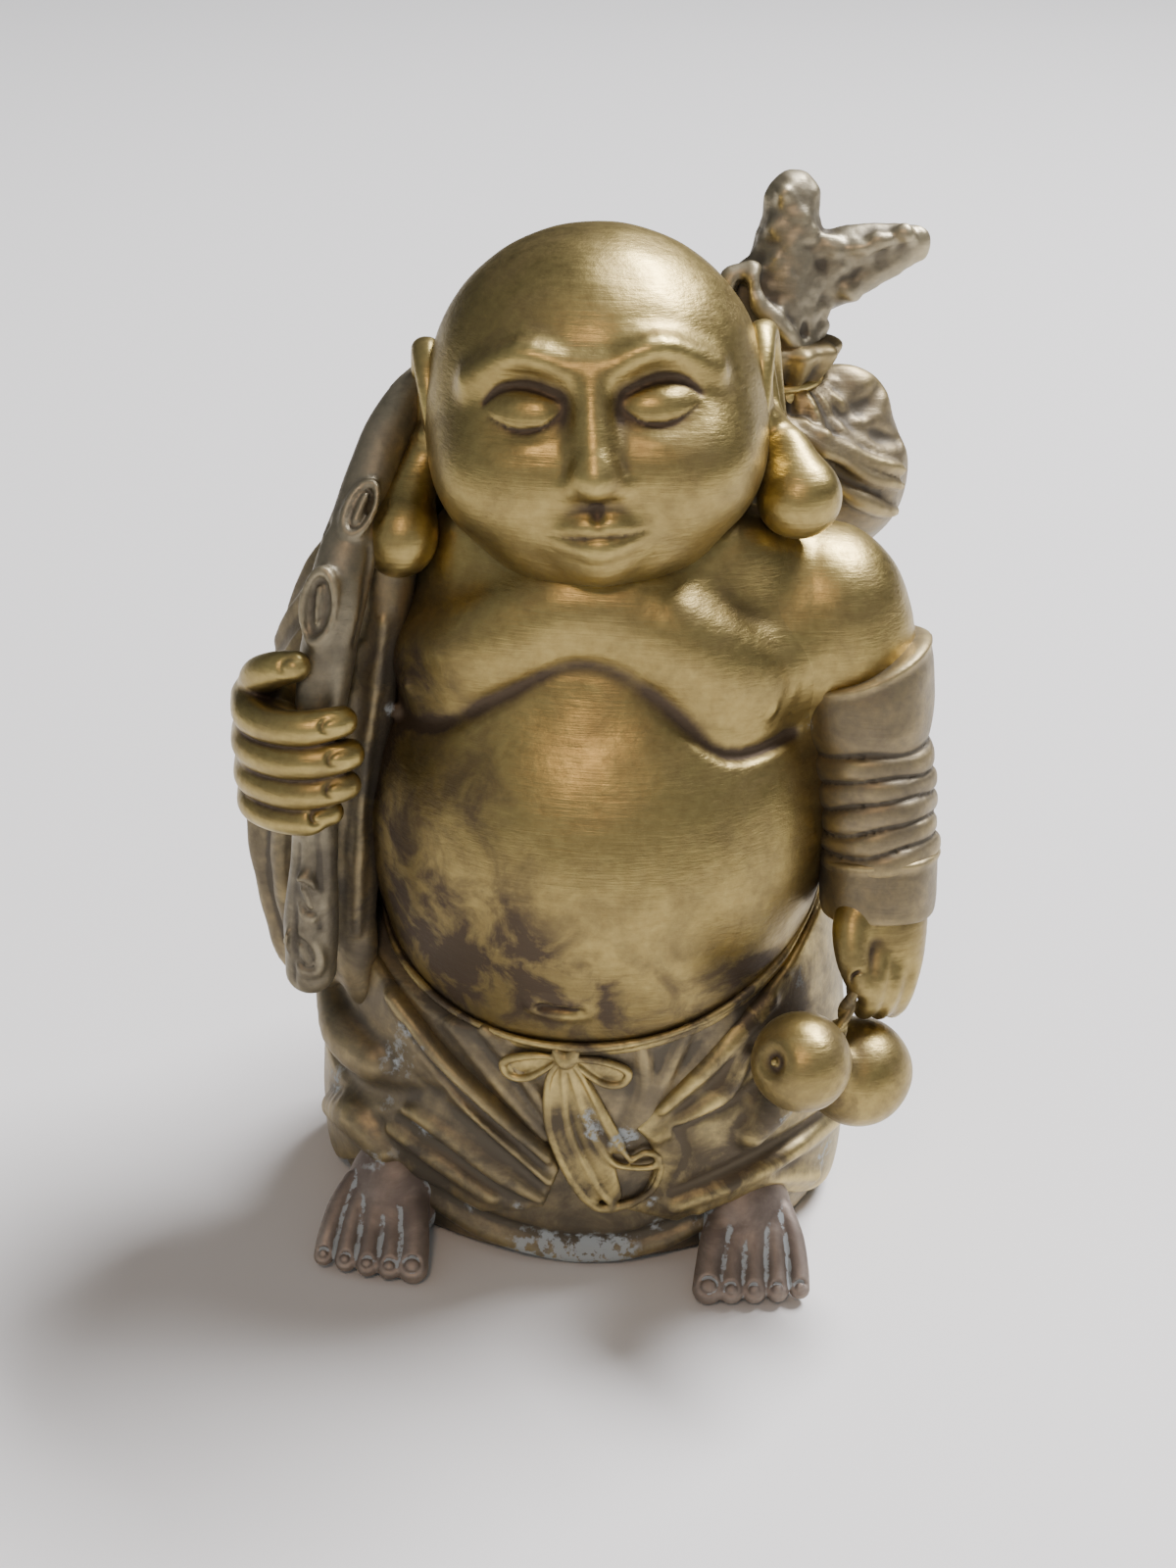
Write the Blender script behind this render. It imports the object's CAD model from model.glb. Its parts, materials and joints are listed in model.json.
import json
import math

import bpy
import numpy as np
import openvdb
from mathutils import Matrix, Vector


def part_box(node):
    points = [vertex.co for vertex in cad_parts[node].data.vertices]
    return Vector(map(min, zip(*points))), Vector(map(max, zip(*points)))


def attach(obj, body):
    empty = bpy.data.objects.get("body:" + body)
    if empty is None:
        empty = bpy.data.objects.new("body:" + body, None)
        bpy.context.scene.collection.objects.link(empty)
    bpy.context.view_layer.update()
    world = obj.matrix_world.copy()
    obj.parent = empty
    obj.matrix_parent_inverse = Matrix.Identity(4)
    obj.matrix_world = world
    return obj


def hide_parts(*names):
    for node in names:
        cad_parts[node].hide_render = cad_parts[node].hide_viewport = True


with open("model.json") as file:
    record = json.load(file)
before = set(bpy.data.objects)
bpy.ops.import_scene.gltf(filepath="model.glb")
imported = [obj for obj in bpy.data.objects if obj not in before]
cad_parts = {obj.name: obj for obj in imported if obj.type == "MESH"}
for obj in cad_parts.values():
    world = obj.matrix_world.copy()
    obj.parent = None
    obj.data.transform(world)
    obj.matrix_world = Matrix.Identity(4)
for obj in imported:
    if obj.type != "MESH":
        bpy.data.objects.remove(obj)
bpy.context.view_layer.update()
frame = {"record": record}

# ---- The drawing ----
# The figure is drawn in millimetres on the same numbers as its CAD, and scaled to the
# packed boxes of the skirt and the fork, so that it follows them if they change.
MM = 0.001
DRAWN_SKIRT_W, DRAWN_SKIRT_D, DRAWN_FORK_TOP = 85.4, 61.5, 163.03
skirt_low, skirt_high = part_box("skirt")
WIDE = (skirt_high.x - skirt_low.x) / MM / DRAWN_SKIRT_W
DEEP = (skirt_high.y - skirt_low.y) / MM / DRAWN_SKIRT_D
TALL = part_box("staff_fork")[1].z / MM / DRAWN_FORK_TOP
FAR = 30.0          # a distance past anything that matters, mm
ROOM = 3            # empty room kept round a block, mm
REACH = 5           # how far from a limb its distance is worked out, mm
SEED = 7


def at(x, y, z):
    return np.array([x * WIDE, y * DEEP, z * TALL])


def route(*rows):
    """Rows of x, y, z and radius, placed on the figure."""
    return np.array([[*at(x, y, z), r] for x, y, z, r in rows])


def smooth(rows, steps=5):
    """The same rows, passed through in a smooth curve."""
    rows = np.asarray(rows, float)
    out = []
    for i in range(len(rows) - 1):
        a, b, c, d = rows[max(i - 1, 0)], rows[i], rows[i + 1], rows[min(i + 2, len(rows) - 1)]
        for t in np.arange(steps) / steps:
            out.append(b + (c - a) * t / 2 + (2 * a - 5 * b + 4 * c - d) * t * t / 2
                + (3 * b - a - 3 * c + d) * t ** 3 / 2)
    out.append(rows[-1])
    return np.array(out)


def turned(about_x=0, about_y=0, about_z=0):
    """A rotation matrix from degrees about X, then Y, then Z."""
    x, y, z = (math.radians(v) for v in (about_x, about_y, about_z))
    rx = np.array([[1, 0, 0], [0, math.cos(x), -math.sin(x)], [0, math.sin(x), math.cos(x)]])
    ry = np.array([[math.cos(y), 0, math.sin(y)], [0, 1, 0], [-math.sin(y), 0, math.cos(y)]])
    rz = np.array([[math.cos(z), -math.sin(z), 0], [math.sin(z), math.cos(z), 0], [0, 0, 1]])
    return rz @ ry @ rx


def melt(a, b, blend):
    """The nearer of two distances, run into each other over a blend width."""
    if blend <= 0:
        return np.minimum(a, b)
    h = np.maximum(blend - np.abs(a - b), 0) / blend
    return np.minimum(a, b) - h * h * blend / 4


# ---- Forms: each is its lowest corner, its highest corner and a distance ----

def egg(middle, radii, turn=None):
    middle, radii = np.asarray(middle, float), np.asarray(radii, float)
    reach = radii if turn is None else np.full(3, radii.max())
    m = np.eye(3) if turn is None else turn.T

    def distance(x, y, z):
        dx, dy, dz = x - middle[0], y - middle[1], z - middle[2]
        if turn is None:
            u, v, w = dx, dy, dz
        else:
            u, v, w = (m[k, 0] * dx + m[k, 1] * dy + m[k, 2] * dz for k in range(3))
        a = np.sqrt((u / radii[0]) ** 2 + (v / radii[1]) ** 2 + (w / radii[2]) ** 2)
        b = np.sqrt((u / radii[0] ** 2) ** 2 + (v / radii[1] ** 2) ** 2 + (w / radii[2] ** 2) ** 2)
        return a * (a - 1) / np.maximum(b, 1e-6)

    return middle - reach, middle + reach, distance


def ball(middle, r):
    return egg(middle, (r, r, r))


def limb(rows, steps=5, flat=None, thin=1.0):
    """A round limb, cord or groove along a smooth route; flat is the way it is thinned."""
    path = smooth(rows, steps) if steps > 1 else np.asarray(rows, float)
    widest = path[:, 3].max()
    reach = widest + REACH
    face = None if flat is None else np.asarray(flat, float) / np.linalg.norm(flat)

    def distance(x, y, z):
        axes = [x.ravel(), y.ravel(), z.ravel()]
        best = np.full((len(axes[0]), len(axes[1]), len(axes[2])), FAR, np.float32)
        for a, b in zip(path[:-1], path[1:]):
            low, high = np.minimum(a[:3], b[:3]) - reach, np.maximum(a[:3], b[:3]) + reach
            cut = tuple(slice(*np.searchsorted(axes[k], [low[k], high[k]])) for k in range(3))
            if min(best[cut].shape) == 0:
                continue
            px, py, pz = (v - a[k] for k, v in enumerate((x[cut[0]], y[:, cut[1]], z[:, :, cut[2]])))
            way = b[:3] - a[:3]
            t = np.clip((px * way[0] + py * way[1] + pz * way[2]) / max(way @ way, 1e-9), 0, 1)
            qx, qy, qz = px - way[0] * t, py - way[1] * t, pz - way[2] * t
            square = qx * qx + qy * qy + qz * qz
            if face is not None:
                off = qx * face[0] + qy * face[1] + qz * face[2]
                square = square + off * off * (1 / thin ** 2 - 1)
            best[cut] = np.minimum(best[cut], np.sqrt(square) - (a[3] + (b[3] - a[3]) * t))
        return best

    return path[:, :3].min(0) - widest, path[:, :3].max(0) + widest, distance


def loop(middle, across, along, r, count=16):
    """A closed ring of cord round a middle, from two half-width vectors."""
    turns = np.linspace(0, 2 * math.pi, count + 1)
    rows = [[*(np.asarray(middle) + np.asarray(across) * math.cos(a) + np.asarray(along) * math.sin(a)), r]
        for a in turns]
    return limb(rows, 1)


def columns(rows):
    """Rows of height, middle x, middle y, half width, front and back, on the figure, finely spaced."""
    scaled = [[z * TALL, x * WIDE, y * DEEP, w * WIDE, f * DEEP, b * DEEP] for z, x, y, w, f, b in rows]
    return smooth(scaled, 6)


def column(rows, ripple=None, grow=0.0):
    """A body of level ovals; ripple(angle, height, x) is added to its surface."""
    table = columns(rows)
    low = np.array([(table[:, 1] - table[:, 3]).min(), (table[:, 2] - table[:, 4]).min(), table[0, 0]])
    high = np.array([(table[:, 1] + table[:, 3]).max(), (table[:, 2] + table[:, 5]).max(), table[-1, 0]])

    def distance(x, y, z):
        cx, cy, w, f, b = (np.interp(z, table[:, 0], table[:, k]) for k in range(1, 6))
        dx, dy = x - cx, y - cy
        depth = np.where(dy < 0, f, b)
        out = np.hypot(dx, dy)
        q = np.sqrt((dx / w) ** 2 + (dy / depth) ** 2)
        side = out * (1 - 1 / np.maximum(q, 1e-3)) - grow
        if ripple is not None:
            side = side - ripple(np.arctan2(dy, dx), z, x)
        ends = np.maximum(z - table[-1, 0], table[0, 0] - z)
        return -melt(-side, -ends, 2.0)

    return low - grow - ROOM, high + grow + ROOM, distance


def waves(count, size, seed):
    """The way and the start of a few waves of about one length, drawn at random."""
    draw = np.random.default_rng(seed)
    for _ in range(count):
        way = draw.normal(size=3)
        way *= 2 * math.pi / size / np.linalg.norm(way) * draw.uniform(0.6, 1.6)
        yield way, draw.uniform(0, 2 * math.pi)


# ---- Clay: a block of distances that forms are added to and cut from ----

class Clay:
    def __init__(self, low, high, grain, place=None, turn=None):
        self.grain = grain
        self.low = np.asarray(low, float) - ROOM
        count = np.ceil((np.asarray(high, float) + ROOM - self.low) / grain).astype(int) + 1
        self.axes = [self.low[k] + grain * np.arange(count[k]) for k in range(3)]
        self.field = np.full(count, FAR, np.float32)
        self.place = np.zeros(3) if place is None else np.asarray(place, float)
        self.turn = np.eye(3) if turn is None else turn

    def grid(self):
        x, y, z = self.axes
        return x[:, None, None], y[None, :, None], z[None, None, :]

    def window(self, low, high, room):
        cut = tuple(slice(*np.searchsorted(self.axes[k],
            [low[k] - room, high[k] + room])) for k in range(3))
        x, y, z = (self.axes[k][cut[k]] for k in range(3))
        return cut, (x[:, None, None], y[None, :, None], z[None, None, :])

    def add(self, form, blend=0.0):
        low, high, distance = form
        cut, where = self.window(low, high, blend + 4)
        if min(self.field[cut].shape) > 0:
            self.field[cut] = melt(self.field[cut], distance(*where).astype(np.float32), blend)
        return self

    def cut(self, form, blend=0.0):
        low, high, distance = form
        cut, where = self.window(low, high, blend + 1)
        if min(self.field[cut].shape) > 0:
            self.field[cut] = -melt(-self.field[cut], distance(*where).astype(np.float32), blend)
        return self

    def trim(self, point, normal, blend=0.3):
        """Keeps the side of a plane that its normal points away from."""
        normal = np.asarray(normal, float) / np.linalg.norm(normal)
        x, y, z = self.grid()
        side = (x - point[0]) * normal[0] + (y - point[1]) * normal[1] + (z - point[2]) * normal[2]
        self.field = -melt(-self.field, -side.astype(np.float32), blend)
        return self

    def rumple(self, size, amount, seed):
        """Presses the surface in and out at random, as bark or rough wax is."""
        x, y, z = self.grid()
        for way, start in waves(8, size, seed):
            wave = np.sin(x * way[0] + y * way[1] + z * way[2] + start)
            self.field += (wave * amount / 2.5).astype(np.float32)
        return self

    def sample(self, points, field=None):
        """Distances at points of the row frame; past the block it is FAR."""
        field = self.field if field is None else field
        g = ((np.asarray(points) - self.place) @ self.turn - self.low) / self.grain
        last = np.array(field.shape) - 2
        inside = np.all((g >= 0) & (g <= last + 0.999), axis=1)
        base = np.clip(np.floor(g).astype(int), 0, last)
        f = np.clip(g - base, 0, 1)
        total = 0
        for i in (0, 1):
            for j in (0, 1):
                for k in (0, 1):
                    share = ((f[:, 0] if i else 1 - f[:, 0]) * (f[:, 1] if j else 1 - f[:, 1])
                        * (f[:, 2] if k else 1 - f[:, 2]))
                    total = total + share * field[base[:, 0] + i, base[:, 1] + j, base[:, 2] + k]
        return np.where(inside, total, FAR)


def rest_on(clay, *rows, out=0.0):
    """A route moved onto the surface of a block, or out from it by a little, in five goes."""
    path = smooth(route(*rows), 4)
    steps = np.eye(3) * 0.8
    for _ in range(5):
        away = clay.sample(path[:, :3])
        slope = np.stack([clay.sample(path[:, :3] + s) - clay.sample(path[:, :3] - s) for s in steps], 1)
        slope /= np.maximum(np.linalg.norm(slope, axis=1), 1e-6)[:, None]
        path[:, :3] -= slope * np.clip(away - out, -3, 3)[:, None]
    return path


def softened(field, reach, times=2):
    """A field averaged over a box of cells, as many times as asked."""
    for _ in range(times):
        for axis in range(3):
            pad = [(0, 0)] * 3
            pad[axis] = (reach + 1, reach)
            total = np.cumsum(np.pad(field, pad, mode="edge"), axis=axis, dtype=np.float64)
            span = 2 * reach + 1
            count = field.shape[axis]
            upper = np.take(total, np.arange(span, span + count), axis=axis)
            lower = np.take(total, np.arange(0, count), axis=axis)
            field = ((upper - lower) / span).astype(np.float32)
    return field


# Where stain and pale deposit lie on the casting: x, y, z, reach and strength
STAINS = [
    (-21, -25, 62, 17, 0.55), (-14, -31, 56, 10, 0.35), (-5, -34, 60, 6, 0.6), (-29, -16, 82, 12, 0.55),
    (-26, -20, 97, 7, 0.7), (-15, -31, 84, 7, 0.35), (-9, -34, 68, 5, 0.35), (3, -35, 57, 4, 0.3),
    (24, -26, 56, 4, 0.3), (4, -33, 50, 12, 0.5), (22, -27, 54, 10, 0.45),
    (-22, -26, 54, 12, 0.4), (36, -34, 38, 13, 0.35), (47, -16, 74, 18, 0.12), (-46, -12, 62, 18, 0.2),
    (0, -33, 16, 16, 0.35), (-24, -28, 16, 13, 0.4), (26, -27, 14, 14, 0.55), (32, -24, 44, 12, 0.5)]
CHALK = [
    (2.6, -33.6, 31, 1.5, 1.2), (3.4, -33.6, 28, 1.4, 1.2), (8, -32.6, 26.6, 1.9, 1.6),
    (9.4, -32.4, 25.6, 1.4, 1.2),
    (-7, -31.6, 2.6, 3.4, 1.1), (-3, -31.8, 2.6, 3, 1.3), (1, -32, 2.6, 3, 1.2), (5, -31.8, 2.8, 3.4, 1.5),
    (9, -31.6, 3.4, 2.6, 1.3), (14, -30, 8, 1.6, 0.9), (-16, -30, 9, 1.8, 1), (-31, -25, 14, 3.4, 0.9),
    (-36, -20, 15, 3, 0.9), (-39, -14, 21, 3, 0.9), (-28, -26, 34, 3.6, 0.75), (-27, -26, 40, 2.6, 0.6),
    (-23, -28.6, 38.6, 1.4, 0.9), (41, -13, 12, 4, 0.75), (20, -29, 9.4, 2.4, 0.9),
    (-24, -28, 23, 1.6, 0.7),
    (-30, -24, 24, 2, 0.6), (33, -26, 28, 1.6, 0.8), (34, -20, 50, 3.6, 0.5), (-30.4, -16.4, 90, 1.6, 0.9),
    (32, -13, 91, 1.6, 0.8), (-8, -32.4, 12, 1.2, 0.7), (-14, -31.6, 21, 1.2, 0.6),
    (13, -31.6, 14.4, 1.2, 0.8)]


def patches(points, spots):
    total = np.zeros(len(points))
    for x, y, z, reach, strength in spots:
        total += strength * np.exp(-((points - at(x, y, z)) ** 2).sum(1) / reach ** 2)
    return total


def waver(points, size, amount, seed):
    """A slow unevenness of the hand-worked wax, as a sum of a few waves."""
    total = sum(np.sin(points @ way + start) for way, start in waves(7, size, seed))
    return amount * total / 3.5


# ---- Shared forms ----

TORSO = [
    (28, 1, -5, 20, 18, 18), (43, 1, -5, 30, 27, 25), (56, 1, -5, 33.6, 30.6, 27),
    (70, 1, -5, 34.8, 31.4, 28),
    (82, 0.5, -4.5, 33.8, 29.2, 28), (94, 0, -3, 31.5, 24.5, 27), (104, 0, -2, 31, 22, 26),
    (112, -0.5, -1, 28, 18.5, 22), (118, -1, -1, 20, 14.5, 17), (124, -1, -2, 14, 12, 13)]
SKIRT = [
    (0, 0, -1, 40.3, 28.4, 27.4), (4, 0, -1, 41.8, 29.8, 28.6), (12, 0, -1, 42.3, 30.6, 29.2),
    (24, 0, -1, 42, 31, 30),
    (36, 0, -1, 40.6, 31, 30), (48, 0.5, -2, 38.2, 30.4, 30), (60, 1, -2, 35.6, 29, 30),
    (72, 1, -2, 34.5, 28, 30), (84, 1, -2, 34, 28, 29)]
ROBE = [
    (2, 0, -1, 41.5, 20, 29), (12, 0, -1, 43, 20, 30.6), (28, 0, -1, 42.5, 20, 31.2),
    (46, 0, -1, 39.6, 20, 31.2),
    (62, 0.5, -1, 36.8, 20, 30.4), (78, -0.5, -1, 35.8, 20, 29.4), (95, -1.5, -1, 34.8, 20, 28.4),
    (108, -4, 0, 31.8, 16, 26), (118, -9, 2, 24, 10, 21.8), (127, -13, 5, 16, 7.6, 15),
    (133, -15, 7, 8, 4.5, 9)]
SLEEVE = [
    (40, -41.3, -13.5, 3, 3.5, 5), (47, -42.6, -12, 6.3, 7, 10), (60, -43.6, -9, 8.6, 9.6, 14),
    (74, -43.2, -7, 9, 10, 15), (88, -40.5, -4, 9.8, 12, 15), (100, -36.5, -1, 10, 12, 15),
    (110, -31.8, 2, 9, 10.5, 14), (119, -27.5, 4, 7, 8, 11), (127, -25, 6.5, 3.5, 4, 6)]
SACK = [
    (63, 12, 31, 6, 4, 5), (69, 13, 31, 15, 9, 11), (82, 14, 31, 21, 12, 15), (98, 16, 30, 23.5, 14, 16),
    (110, 20, 28, 23.5, 13, 15.5), (119, 23.5, 26.5, 20.5, 11.5, 13), (126, 26, 24.5, 14, 9, 9.5),
    (131, 26, 23, 6, 6, 6)]

head_middle = at(-1.5, -3.5, 0) + [0, 0, 160 * TALL - 25]
head_turn = turned(-14, -5, 3)

torso_table, skirt_table = columns(TORSO), columns(SKIRT)


def front(table, x, z, out=0.0):
    """The point on the front of a column at a drawn x and z, standing out by a little."""
    x, z = x * WIDE, z * TALL
    cx, cy, w, f = (np.interp(z, table[:, 0], table[:, k]) for k in (1, 2, 3, 4))
    u = np.clip((x - cx) / w, -0.99, 0.99)
    y = cy - f * math.sqrt(1 - u * u)
    normal = np.array([u / w, -math.sqrt(1 - u * u) / f, 0])
    return np.array([x, y, z]) + out * normal / np.linalg.norm(normal)


def laid(table, *rows, out=0.0):
    """A route laid on the front of a column, from rows of x, z and radius."""
    return np.array([[*front(table, x, z, out), r] for x, z, r in rows])


# The plane of the trouser top rises to the back and towards the figure's left
WAIST = at(0, -33, 43)
waist_normal = turned(29, -6) @ np.array([0, 0, 1.0])


def waist_height(x, y):
    return WAIST[2] - (waist_normal[0] * (x - WAIST[0]) + waist_normal[1] * (y - WAIST[1])) / waist_normal[2]


def waist_spot(angle, out=0.0):
    """The point at a bearing where the belly meets the trouser top."""
    z = WAIST[2]
    for _ in range(6):
        cx, cy, w, f, b = (np.interp(z, torso_table[:, 0], torso_table[:, k]) for k in range(1, 6))
        x = cx + (w + out) * math.cos(angle)
        y = cy + ((f if math.sin(angle) < 0 else b) + out) * math.sin(angle)
        z = waist_height(x, y)
    return np.array([x, y, z])


# ---- The pieces ----

def torso_and_arm():
    """The belly and chest, and the bare left shoulder that runs on from them, as two castings."""
    low, high = at(-36, -40, 27), at(56, 29, 128)
    body = Clay(low, high, 0.6)
    arm = Clay(low, high, 0.6)
    body.add(column(TORSO))
    body.add(egg(at(1, -8, 70), (34.3, 28.7, 30.5)), 6)
    # The chest hangs as two soft lobes that meet in a high point over the belly
    body.add(limb(route((2, -16.6, 110, 7.4), (-8, -17.4, 107, 8), (-15, -17, 102.8, 8.2),
        (-22, -14.4, 98.6, 7.6))), 4)
    body.add(limb(route((-3, -16.6, 110, 7.4), (8, -17.4, 107.6, 8.2), (14, -17.2, 103.6, 8.6),
        (21, -14.4, 98.8, 8.8), (26, -9, 99, 7))), 4)
    body.add(limb(route((-18, -8, 114, 7), (0, -11, 115, 8), (18, -8, 114, 8))), 5)
    under = laid(torso_table, (-29.5, 89.5, 0.3), (-23, 90.6, 0.6), (-14, 96.4, 0.6), (-1.7, 103, 0.5),
        (8.5, 99.4, 0.6), (19.8, 90.4, 0.7), (29.5, 89.6, 0.4), out=0.95)
    body.cut(limb(under), 2.2)
    # Nipples, and the navel with its lip
    for x, z in ((-24.2, 96.5), (23.6, 96.2)):
        spot = front(torso_table, x, z, 1.6)
        body.add(loop(spot, (1.9, 0.9 * np.sign(-x), 0), (0, 0, 1.9), 0.4), 0.8)
        body.add(ball(spot + [0, -0.2, 0], 0.9), 0.8)
    navel = front(torso_table, -2.4, 51.4)
    body.add(loop(navel, (4.2, 0, 0), (0, -0.4, 1.3), 0.15), 2.2)
    body.cut(egg(navel + [0.4, -0.6, 0], (3.1, 1.4, 0.45)), 1)
    body.cut(egg(navel + [-2.2, -0.8, 0.1], (1.1, 1.5, 0.8)), 0.8)
    # The neck folds
    body.add(column([(108, -1, -3, 17, 13, 14), (118, -1, -3, 15.5, 13, 14), (126, -1, -3, 15, 12.5, 14)]),
        4)

    arm.add(egg(at(34, -2.5, 103.5), (11.6, 12.2, 12.4), turned(0, 18)), 0)
    arm.add(limb(route((31, -2, 104, 11.2), (37.4, -3.5, 97, 10.3), (41.6, -6.5, 88, 8),
        (43.2, -9, 80, 7.2))), 5)
    arm.add(limb(route((22, -3, 110, 8.5), (32, -2, 106, 10.5))), 4)
    whole = melt(body.field, arm.field, 6.5)
    side = (body.field - arm.field) / 2
    # The two castings share one skin, and each runs on a little under the other at the seam
    seam, sink = 1.2, 0.2
    arm.field = np.maximum(whole + sink * np.maximum(-side, 0), -side - seam).astype(np.float32)
    body.field = np.maximum(whole + sink * np.maximum(side, 0), side - seam).astype(np.float32)
    # A small casting flaw by the fold of the armpit
    body.add(egg(front(torso_table, -28.6, 89.8, 0.6), (1.2, 0.8, 1.5), turned(0, 30)), 0.5)
    body.trim(WAIST - waist_normal * 3, -waist_normal)
    return {"torso": body, "arm_left": arm}


def head():
    clay = Clay((-27, -30, -29), (27, 27, 27), 0.42, head_middle, head_turn)

    def on_face(*rows):
        """A route in the head's own frame, pushed in or out to lie on its skin."""
        path = smooth(rows, 4)
        for _ in range(4):
            path[:, 1] += np.clip(clay.sample(path[:, :3] @ head_turn.T + head_middle), -2, 2)
        return path

    clay.add(egg((0, 0.5, 2.2), (24, 23, 23)))
    clay.add(egg((0, -3, -9), (22.6, 19.2, 15)), 9)
    clay.add(egg((0, -8, -19), (13, 10.6, 5.6)), 6)
    clay.add(ball((0, -18, -19.2), 3.8), 4)
    for s in (-1, 1):
        clay.add(egg((s * 12, -13.8, -8.5), (8.4, 7.8, 7.6)), 7)
        clay.add(limb([(s * 3.6, -21.8, 5.6, 1.2), (s * 9.4, -20.8, 8, 1.7), (s * 16.4, -16.2, 5, 1)]), 4)
        # Eye socket, the lowered lid, its edge, and the crease over it
        clay.cut(egg((s * 9, -25, 1.2), (6.4, 4.2, 3.6)), 5)
        clay.add(egg((s * 9, -18.9, 0.2), (5.4, 3.3, 3.5), turned(0, 0, s * 14)), 1.2)
        clay.cut(limb(on_face((s * 4.2, -21, 0.2, 0.2), (s * 6.8, -22, -1.6, 0.34),
            (s * 10.6, -21.6, -1.8, 0.34), (s * 14.2, -18.6, 0.2, 0.2)), 1), 0.5)
        clay.cut(limb(on_face((s * 4.4, -21, 2.3, 0.2), (s * 8.4, -22, 4, 0.34),
            (s * 12.2, -20.4, 3.9, 0.3), (s * 14.8, -18, 2, 0.18)), 1), 0.8)
        clay.add(limb([(s * 4.6, -20.6, -3, 0.5), (s * 9, -21.2, -4.4, 0.8),
            (s * 13.6, -18.8, -3.2, 0.5)]), 2.4)
        # The wing of the nose, and the end of the lips
        clay.add(egg((s * 3.1, -21.8, -9.6), (2.1, 2.7, 1.9)), 1.8)
        clay.cut(ball((s * 1.7, -23.9, -11.5), 0.7), 0.6)
        clay.cut(limb([(s * 5, -20.4, -8.4, 0.2), (s * 6.6, -20.8, -11.4, 0.3),
            (s * 8.4, -19.4, -14.6, 0.2)]), 2)
        clay.cut(ball((s * 6.9, -20.2, -16), 0.6), 1.6)
    clay.add(limb([(0, -21, 5.6, 1.4), (0, -22.6, 0, 1.7), (0, -24, -5.6, 2.1)]), 3)
    clay.add(ball((0, -24.3, -8.4), 3), 2)
    clay.add(egg((0, -18, -16), (8, 4.4, 4)), 3)
    clay.add(limb([(-6.4, -20.3, -16, 0.6), (-2.4, -22, -15, 1.35), (0, -22.1, -15.4, 1.2),
        (2.4, -22, -15, 1.35), (6.4, -20.3, -16, 0.6)]), 1.1)
    clay.add(limb([(-5, -20.7, -17.3, 0.8), (0, -21.8, -18.1, 1.75), (5, -20.7, -17.3, 0.8)]), 1.1)
    clay.cut(limb(on_face((-6.8, -21, -16, 0.2), (-3, -22.8, -16.6, 0.32), (0, -23, -16.5, 0.32),
        (3, -22.8, -16.6, 0.32), (6.8, -21, -16, 0.2)), 1), 0.5)
    clay.cut(limb([(0, -22.9, -12.4, 0.2), (0, -23.3, -13.8, 0.3)]), 1.2)
    return {"head": clay}


def ear(side, lobe, lobe_radii, lean):
    """A long ear in the head's own frame: a rim round a hollow, and a heavy hanging lobe."""
    place = (at(*lobe) - head_middle) @ head_turn
    clay = Clay((min(side * 19, side * 37), -20, -30), (max(side * 19, side * 37), 16, 16), 0.35,
        head_middle, head_turn)
    rim = [(side * 23.2, -3.8, -2, 1.3), (side * 23.8, -2.6, 4.4, 1.6), (side * 24.4, 1.5, 8.4, 1.9),
        (side * 25, 5.4, 6.4, 1.9), (side * 25.4, 6.4, 0.6, 1.8), (side * 25.8, 4, -6, 1.9)]
    lobe_root = [*(place + [-side * 1.5, 2.5, 6]), 3.2]
    clay.add(egg((side * 23.4, 1.5, 1), (2.4, 5.4, 9)))
    clay.add(limb([*rim, lobe_root]), 1)
    clay.cut(egg((side * 26.6, 1, 1.6), (1.9, 3, 5.6)), 1)
    clay.add(limb([(side * 24.6, -1.6, -3.5, 1.2), (side * 25.4, 1.8, -4.4, 1.2),
        (side * 25.2, 3.4, 1.5, 0.9), (side * 24.8, 2.6, 5.6, 0.8)]), 0.8)
    clay.add(limb([(side * 24.6, 1, -5, 2.6), lobe_root, [*place, lobe_radii[0] * 0.8]]), 2)
    clay.add(egg(place, lobe_radii, turned(*lean)), 3)
    return clay


def ears():
    return {"ear_right": ear(-1, (-28.4, -13.2, 116.3), (4.9, 4.9, 6), (18, 24, 0)),
        "ear_left": ear(1, (28.2, -9.4, 124.4), (5.9, 5.6, 5.6), (0, -20, 0))}


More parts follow.
